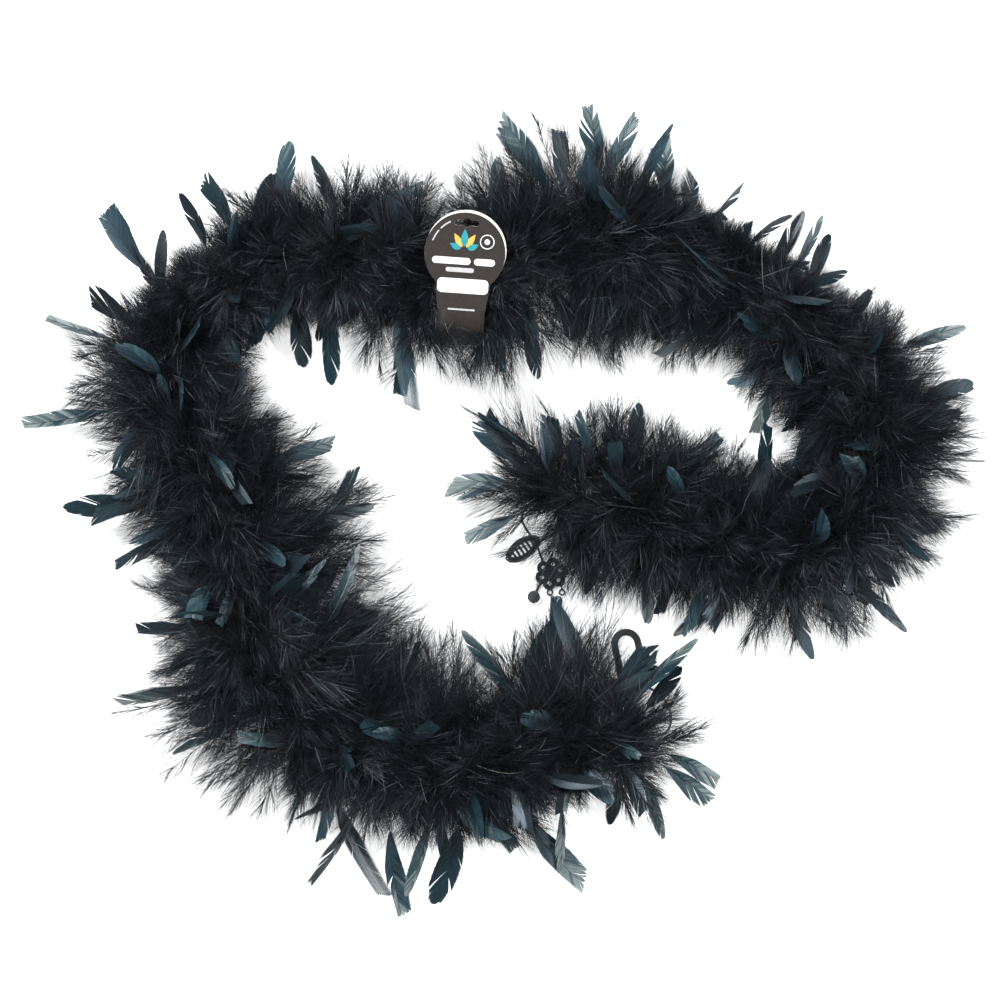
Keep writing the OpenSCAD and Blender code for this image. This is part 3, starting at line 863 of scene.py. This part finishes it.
def outline_piece(name, rings, low, thickness, bevel, materials):
    """Flat piece with holes, in the card's frame: rings are closed outlines, low is its underside's height.

    materials are those of its top, its underside and its edge, or one for all.
    """
    curve = bpy.data.curves.new(name, "CURVE")
    curve.dimensions = "2D"
    curve.fill_mode = "BOTH"
    curve.extrude = thickness / 2 - bevel
    curve.bevel_depth = bevel
    curve.bevel_resolution = 1
    for ring in rings:
        spline = curve.splines.new("POLY")
        spline.points.add(len(ring) - 1)
        for point, (x, y) in zip(spline.points, ring):
            point.co = (x, y, 0, 1)
        spline.use_cyclic_u = True
    source = new_object(name + "_outline", curve)
    bpy.context.view_layer.update()
    mesh = bpy.data.meshes.new_from_object(source)
    bpy.data.objects.remove(source)
    mesh.transform(Matrix.Translation((0, 0, low + thickness / 2)))
    mesh.materials.clear()
    for m in materials:
        mesh.materials.append(m)
    for face in mesh.polygons:
        part = 0 if face.normal.z > 0.9 else 1 if face.normal.z < -0.9 else 2
        face.material_index = min(part, len(materials) - 1)
    mesh.transform(CARD)
    return new_object(name, mesh)


def turned(at, a, x, y):
    """The point x, y turned by a radians and moved to at."""
    return at[0] + x * math.cos(a) - y * math.sin(a), at[1] + x * math.sin(a) + y * math.cos(a)


def circle_ring(r, at=(0, 0), steps=96):
    a = np.linspace(0.0, 2 * math.pi, steps, endpoint=False)
    return [(at[0] + r * math.cos(v), at[1] + r * math.sin(v)) for v in a]


def bar_ring(length, height, at=(0, 0), corner=None):
    """Rounded bar."""
    r = height / 2 if corner is None else corner
    ring = []
    for cx, cy, start in ((1, 1, 0), (-1, 1, 90), (-1, -1, 180), (1, -1, 270)):
        for v in np.radians(np.linspace(start, start + 90, 8)):
            ring.append((at[0] + cx * (length / 2 - r) + r * math.cos(v),
                         at[1] + cy * (height / 2 - r) + r * math.sin(v)))
    return ring


# Distance from an emblem's centre at which its leaves start, so that they stay clear of each other
LEAF_START = 0.0035


def leaf_ring(length, width, at, angle, steps=16):
    """Pointed leaf that points away from a centre."""
    a = math.radians(angle)
    at = (at[0] + LEAF_START * math.cos(a), at[1] + LEAF_START * math.sin(a))
    t = np.linspace(0, 1, steps)
    up = width / 2 * np.sin(np.pi * t**0.8)
    xs = np.concatenate([t * length, t[::-1][1:-1] * length])
    ys = np.concatenate([up, -up[::-1][1:-1]])
    return [turned(at, a, x, y) for x, y in zip(xs, ys)]


CARD_T = 0.0006
HOLE_Y = PANEL_Y + PANEL_R - 0.009


def hang_hole():
    """A slot 22 mm long with a round bump in its middle."""
    ring = []
    for side in (1, -1):
        for v in np.radians(np.linspace(-90, 90, 10)):
            ring.append((side * (0.0085 + 0.0025 * math.cos(v)), HOLE_Y + side * 0.0025 * math.sin(v)))
        for v in np.radians(np.linspace(38, 142, 12)):
            ring.append((side * 0.004 * math.cos(v), HOLE_Y + side * 0.004 * math.sin(v)))
    return ring


CARD_BEVEL = 0.00008
# the front panel: the strip's sides run into the disc
disc_edge = np.radians(np.linspace(-47, 227, 110))
front = [(PANEL_R * math.cos(v), PANEL_Y + PANEL_R * math.sin(v)) for v in disc_edge]
front += [(-STRIP_HALF, 0.0), (STRIP_HALF, 0.0)]
card_front = outline_piece(
    "card_front", [front, hang_hole()], LOOP_R, CARD_T, CARD_BEVEL, [PRINT, BOARD, BOARD])
back_low = LOOP_R - 0.0026
back = [p for p in circle_ring(PANEL_R, (0.0008, PANEL_Y + 0.0022), 160) if p[1] > back_low]
back.sort(key=lambda p: (math.atan2(p[1] - PANEL_Y, p[0]) + math.pi / 2) % (2 * math.pi))
card_back = outline_piece(
    "card_back", [back, hang_hole()], LOOP_R - CARD_T, CARD_T - 0.00002, CARD_BEVEL, [BOARD, PRINT, BOARD])

# the strip round the boa, printed outside: its middle line, then the straight stretch up to the back panel
mouth = 2 * math.atan2(0.034, 0.032) - math.pi / 2
middle = LOOP_R + CARD_T / 2
wrap = np.linspace(math.pi / 2, 2 * math.pi + mouth, 70)
strip_line = [(middle * math.cos(a), middle * math.sin(a)) for a in wrap]
bend_y, bend_z = strip_line[-1]
top_y, top_z = back_low + 0.0008, LOOP_R - CARD_T / 2
strip_line += [(bend_y + (top_y - bend_y) * i / 8, bend_z + (top_z - bend_z) * i / 8) for i in range(1, 9)]
strip_line = np.array(strip_line)
rows = len(strip_line)
across = np.array([-STRIP_HALF, -STRIP_HALF / 2, 0, STRIP_HALF / 2, STRIP_HALF])
strip_along = unit(np.gradient(strip_line, axis=0))
outward = np.stack([strip_along[:, 1], -strip_along[:, 0]], -1)
shell = []
for face_side in (0.5, -0.5):
    yz = strip_line + outward * face_side * CARD_T
    shell.append(np.stack(np.broadcast_arrays(across[None], yz[:, :1], yz[:, 1:]), -1))
outer = np.arange(rows * 5).reshape(rows, 5)
inner = outer + rows * 5


def grid_quads(g):
    return np.stack([g[:-1, :-1], g[:-1, 1:], g[1:, 1:], g[1:, :-1]], -1).reshape(-1, 4)


edges = [np.stack([outer[:-1, c], inner[:-1, c], inner[1:, c], outer[1:, c]], -1) for c in (0, 4)]
strip_quads = np.concatenate([grid_quads(outer), grid_quads(inner)[:, ::-1], edges[0], edges[1][:, ::-1]])
strip_index = np.repeat([0, 1], [4 * (rows - 1), 6 * (rows - 1)])
strip_verts = moved(CARD_TO_ROW, np.concatenate([face.reshape(-1, 3) for face in shell]))
strip_uv = np.stack([strip_verts[:, 0] * 3 + 0.5, strip_verts[:, 1] * 3 + 0.5], -1).clip(0, 1)
card_strip = new_mesh("card_strip", strip_verts, strip_quads, strip_uv, [PRINT, BOARD], strip_index)

label = outline_piece(
    "label", [bar_ring(0.045, 0.0128, (0, 0.021), 0.004)], LOOP_R + CARD_T, 0.00015, 0.00003, [LABEL])

# plain marks in place of print
INK_LOW, INK_T, INK_BEVEL = LOOP_R + CARD_T, 0.00006, 0.00001
badge = (0.0190, PANEL_Y + 0.0110)
emblem = (-0.001, PANEL_Y + 0.0020)


def arc_ring(r, thick, first, last):
    """Curved bar round the panel's middle, from one angle to another."""
    a = np.radians(np.linspace(first, last, 14))
    outer_edge = [(r * math.cos(v), PANEL_Y + r * math.sin(v)) for v in a]
    return outer_edge + [((r - thick) * math.cos(v), PANEL_Y + (r - thick) * math.sin(v)) for v in a[::-1]]


ink_white = outline_piece(
    "ink_white",
    [circle_ring(0.0064, badge), circle_ring(0.0056, badge), circle_ring(0.0024, badge, 32),
     bar_ring(0.034, 0.0060, (-0.0115, PANEL_Y - 0.0072)),
     bar_ring(0.0185, 0.0060, (0.0178, PANEL_Y - 0.0072))],
    INK_LOW, INK_T, INK_BEVEL, [INK_WHITE])
ink_grey = outline_piece(
    "ink_grey",
    [bar_ring(0.025, 0.0040, (-0.0035, PANEL_Y - 0.0150)), bar_ring(0.024, 0.0015, (0.0, 0.0002)),
     arc_ring(0.0310, 0.0013, 118, 138), arc_ring(0.0310, 0.0013, 142, 162)],
    INK_LOW, INK_T, INK_BEVEL, [INK_GREY])
ink_teal = outline_piece(
    "ink_teal",
    [leaf_ring(0.0105, 0.0055, emblem, 155), leaf_ring(0.0155, 0.0065, emblem, 90),
     leaf_ring(0.0105, 0.0055, emblem, 25)],
    INK_LOW, INK_T, INK_BEVEL, [INK_TEAL])
ink_gold = outline_piece(
    "ink_gold", [leaf_ring(0.0140, 0.0055, emblem, 122), leaf_ring(0.0140, 0.0055, emblem, 58)],
    INK_LOW, INK_T * 0.7, INK_BEVEL, [INK_GOLD])
for piece in (card_front, card_back, card_strip, ink_white, ink_grey, ink_teal, ink_gold):
    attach(piece, "card")
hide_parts("header_card")
placed(label, "card", "label", "card_label")

# ---- crochet


def smooth_path(points, step=0.0005, closed=False):
    """Even points on a smooth curve through the given ones."""
    p = np.array(points, float)
    if closed:
        p = np.concatenate([p[-2:], p, p[:3]])
    else:
        p = np.concatenate([2 * p[:1] - p[1:2], p, 2 * p[-1:] - p[-2:-1]])
    out = []
    first, last = (2, len(p) - 3) if closed else (1, len(p) - 2)
    for i in range(first, last):
        t = np.linspace(0, 1, 24, endpoint=False)[:, None]
        a, b, c, d = p[i - 1], p[i], p[i + 1], p[i + 2]
        bow, twist = 2 * a - 5 * b + 4 * c - d, 3 * b - a - 3 * c + d
        out.append(0.5 * (2 * b + (c - a) * t + bow * t**2 + twist * t**3))
    out = np.concatenate(out + ([] if closed else [p[-2:-1]]))
    ring = np.concatenate([out, out[:1]]) if closed else out
    length = np.concatenate([[0], np.cumsum(np.linalg.norm(np.diff(ring, axis=0), axis=1))])
    count = max(8, int(length[-1] / step))
    where = np.linspace(0, length[-1], count, endpoint=not closed)
    return np.stack([np.interp(where, length, ring[:, i]) for i in range(3)], -1)


def plait(bundle, path, wide, high, strand, pitch, strands=3, closed=False):
    """Strands of yarn that cross over and under each other along a path, as a row of chain stitches does."""
    if closed:
        along = unit(np.roll(path, -1, 0) - np.roll(path, 1, 0))
    else:
        along = unit(np.gradient(path, axis=0))
    reference = np.where(np.abs(along[:, 2:]) > 0.9, [1.0, 0, 0], [0, 0, 1.0])
    side = unit(np.cross(along, reference))
    up = np.cross(side, along)
    s = np.concatenate([[0], np.cumsum(np.linalg.norm(np.diff(path, axis=0), axis=1))])
    total = s[-1] + (np.linalg.norm(path[0] - path[-1]) if closed else 0)
    turns = max(1, round(total / pitch))
    for i in range(strands):
        a = 2 * np.pi * (s / total * turns + i / strands)
        centre = path + side * (wide * np.sin(a))[:, None] + up * (high * np.sin(2 * a))[:, None]
        if closed:
            centre = np.concatenate([centre, centre[:2]])
        bundle.strand(centre, strand, 7)


def in_plane(centre, angle, points, height):
    """Flat points turned by angle and set at a place on the surface."""
    a = math.radians(angle)
    return [(*turned(centre, a, x, y), height) for x, y in points]


def crochet_piece(name, bundle, body, node):
    return placed(bundle.piece(name, [YARN]), body, "crochet", node)


def plait_ring(bundle, place, angle, points, height, wide, high, strand, pitch, strands=3):
    """A closed plait through flat points, turned by angle and set at a place on the surface."""
    path = smooth_path(in_plane(place, angle, points, height), closed=True)
    plait(bundle, path, wide, high, strand, pitch, strands, closed=True)


LEAF_PLACE, LEAF_ANGLE = (0.020, -0.037), 35
half_turn = np.linspace(0, np.pi, 12)
leaf_rim = [(0.0160 * math.cos(v), 0.0070 * math.sin(v) ** 1.4) for v in half_turn]
leaf_rim += [(0.0160 * math.cos(v), -0.0070 * math.sin(v) ** 1.4) for v in half_turn[::-1][1:-1]]
leaf = Bundle()
plait_ring(leaf, LEAF_PLACE, LEAF_ANGLE, leaf_rim, 0.0026, 0.0021, 0.0010, 0.00085, 0.0062)
for x in (-0.010, -0.006, -0.002, 0.002, 0.006, 0.010):
    half = 0.0072 * (1 - (x / 0.0165) ** 2) ** 0.7
    rung = in_plane(LEAF_PLACE, LEAF_ANGLE, [(x, -half), (x + 0.0004, 0), (x, half)], 0.0026)
    plait(leaf, smooth_path(rung), 0.0006, 0.0004, 0.00070, 0.0030, strands=2)
crochet_piece("crochet_leaf", leaf, "tie_a", "tie_leaf")

ROSETTE_PLACE = (0.046, -0.060)
rosette = Bundle()
for i in range(6):
    petal = circle_ring(0.0040, (0.009, 0), 14)
    plait_ring(rosette, ROSETTE_PLACE, 60 * i + 20, petal, 0.0026, 0.0016, 0.0009, 0.00075, 0.0048)
plait_ring(rosette, ROSETTE_PLACE, 0, circle_ring(0.0048, steps=14), 0.0032, 0.0015, 0.0009, 0.00075, 0.0046)
plait_ring(rosette, ROSETTE_PLACE, 0, circle_ring(0.0022, steps=14), 0.0036, 0.0006, 0.0005, 0.00065, 0.0030)
for x, y in ((0.045, -0.077), (0.056, -0.077)):
    picot = circle_ring(0.0024, steps=14)
    plait_ring(rosette, (x, y), 0, picot, 0.0016, 0.0004, 0.0003, 0.00055, 0.0026, strands=2)
    stem = [(x, y + 0.0024, 0.0016), (x - 0.0005, y + 0.0060, 0.0026)]
    plait(rosette, smooth_path(stem), 0.0004, 0.0003, 0.00055, 0.0026, strands=2)
crochet_piece("crochet_rosette", rosette, "tie_a", "tie_rosette")

# two spirals of stitches over a round core
BALL_X, BALL_Y, BALL_Z = 0.030, -0.081, 0.006
BALL_TURNS = 7
ball = Bundle()
v = np.linspace(0.03, 0.97, 900)
for phase in (0.0, 1.0):
    polar = np.pi * v
    winding = 2 * np.pi * BALL_TURNS * v + phase * np.pi
    bump = 0.0049 + 0.00032 * np.sin(winding * 5 + phase * np.pi)
    spiral = np.stack([BALL_X + bump * np.sin(polar) * np.cos(winding),
                       BALL_Y + bump * np.sin(polar) * np.sin(winding), BALL_Z + bump * np.cos(polar)], -1)
    ball.strand(spiral, 0.00078, 7, np.array([0.3, 0.2, 1.0]))
lat = np.linspace(0.02, np.pi - 0.02, 16)
globe = np.stack([np.full(16, BALL_X), np.full(16, BALL_Y), BALL_Z + 0.0046 * np.cos(lat)], -1)
ball.strand(globe, 0.0046 * np.sin(lat) + 0.00005, 20, np.array([1.0, 0, 0]))
stem = [(0.039, -0.066, 0.0025), (0.035, -0.071, 0.003), (0.0325, -0.076, 0.0045)]
plait(ball, smooth_path(stem), 0.0008, 0.0004, 0.0007, 0.0035)
crochet_piece("crochet_ball", ball, "tie_a", "tie_ball")


def stadium_points(length, width):
    """A ring with straight sides and round ends."""
    r = width / 2
    points = []
    for end, start in ((1, -np.pi / 2), (-1, np.pi / 2)):
        middle = end * (length / 2 - r)
        points += [(middle + r * math.cos(v), r * math.sin(v)) for v in np.linspace(start, start + np.pi, 9)]
        points.append((0.0, end * r))
    return points


loop = Bundle()
for length, width, height in ((0.0470, 0.0190, 0.0026), (0.0520, 0.0240, 0.0028)):
    outline = stadium_points(length, width)
    plait_ring(loop, (0.118, -0.138), 102, outline, height, 0.0013, 0.0009, 0.00085, 0.0052)
crochet_piece("crochet_loop", loop, "tie_b", "tie_loop")

# the yarn cords' routes in mm, as the CAD has them
ROUTE_A = [(42, 10, 52), (32, 9, 51), (24, 3, 45), (19, -6, 33), (20, -13, 21), (24, -20, 11), (29, -27, 5),
           (33, -34, 2.5), (36, -42, 2.5), (39, -50, 2.5)]
ROUTE_B = [(135, -203, 52), (145, -203, 51), (152, -197, 44), (154, -187, 32), (152, -179, 20),
           (147, -172, 9), (140, -167, 3.5), (133, -163, 2.5), (128, -158, 2.5)]
for letter, route, body in (("a", ROUTE_A, "tie_a"), ("b", ROUTE_B, "tie_b")):
    line = smooth_path(np.array(route, float) * MM)
    yarn = Bundle()
    plait(yarn, line, 0.0006, 0.00035, 0.0006, 0.0034)
    piece = crochet_piece(f"yarn_{letter}", yarn, body, f"tie_cord_{letter}")
    length = float(np.linalg.norm(np.diff(line, axis=0), axis=1).sum())

# ---- stage

floor_mesh = bpy.data.meshes.new("floor")
FLOOR_HALF = 6
corners = [(x * FLOOR_HALF, y * FLOOR_HALF, 0) for x, y in ((-1, -1), (1, -1), (1, 1), (-1, 1))]
floor_mesh.from_pydata(corners, [], [(0, 1, 2, 3)])
floor = new_object("floor", floor_mesh)
floor_material = principled(
    "floor", Base_Color=(0.9, 0.9, 0.9, 1), Roughness=0.9, Emission_Color=(1, 1, 1, 1), Emission_Strength=0.75)
floor_mesh.materials.append(floor_material[0])

world = bpy.data.worlds.new("world")
world.use_nodes = True
set_inputs(world.node_tree.nodes["Background"], Color=(1, 1, 1, 1), Strength=0.4)
bpy.context.scene.world = world


def area_light(name, place, size, power):
    data = bpy.data.lights.new(name, "AREA")
    data.shape = "RECTANGLE"
    data.size, data.size_y = size
    data.energy = power
    lamp = new_object(name, data)
    lamp.location = place
    lamp.rotation_euler = Vector(place).to_track_quat("Z", "Y").to_euler()


area_light("key", (-1.2, 1.5, 2.6), (0.9, 0.9), 155)
area_light("fill", (1.8, -1.0, 2.0), (1.4, 1.0), 45)
bpy.context.scene.view_settings.view_transform = "Standard"
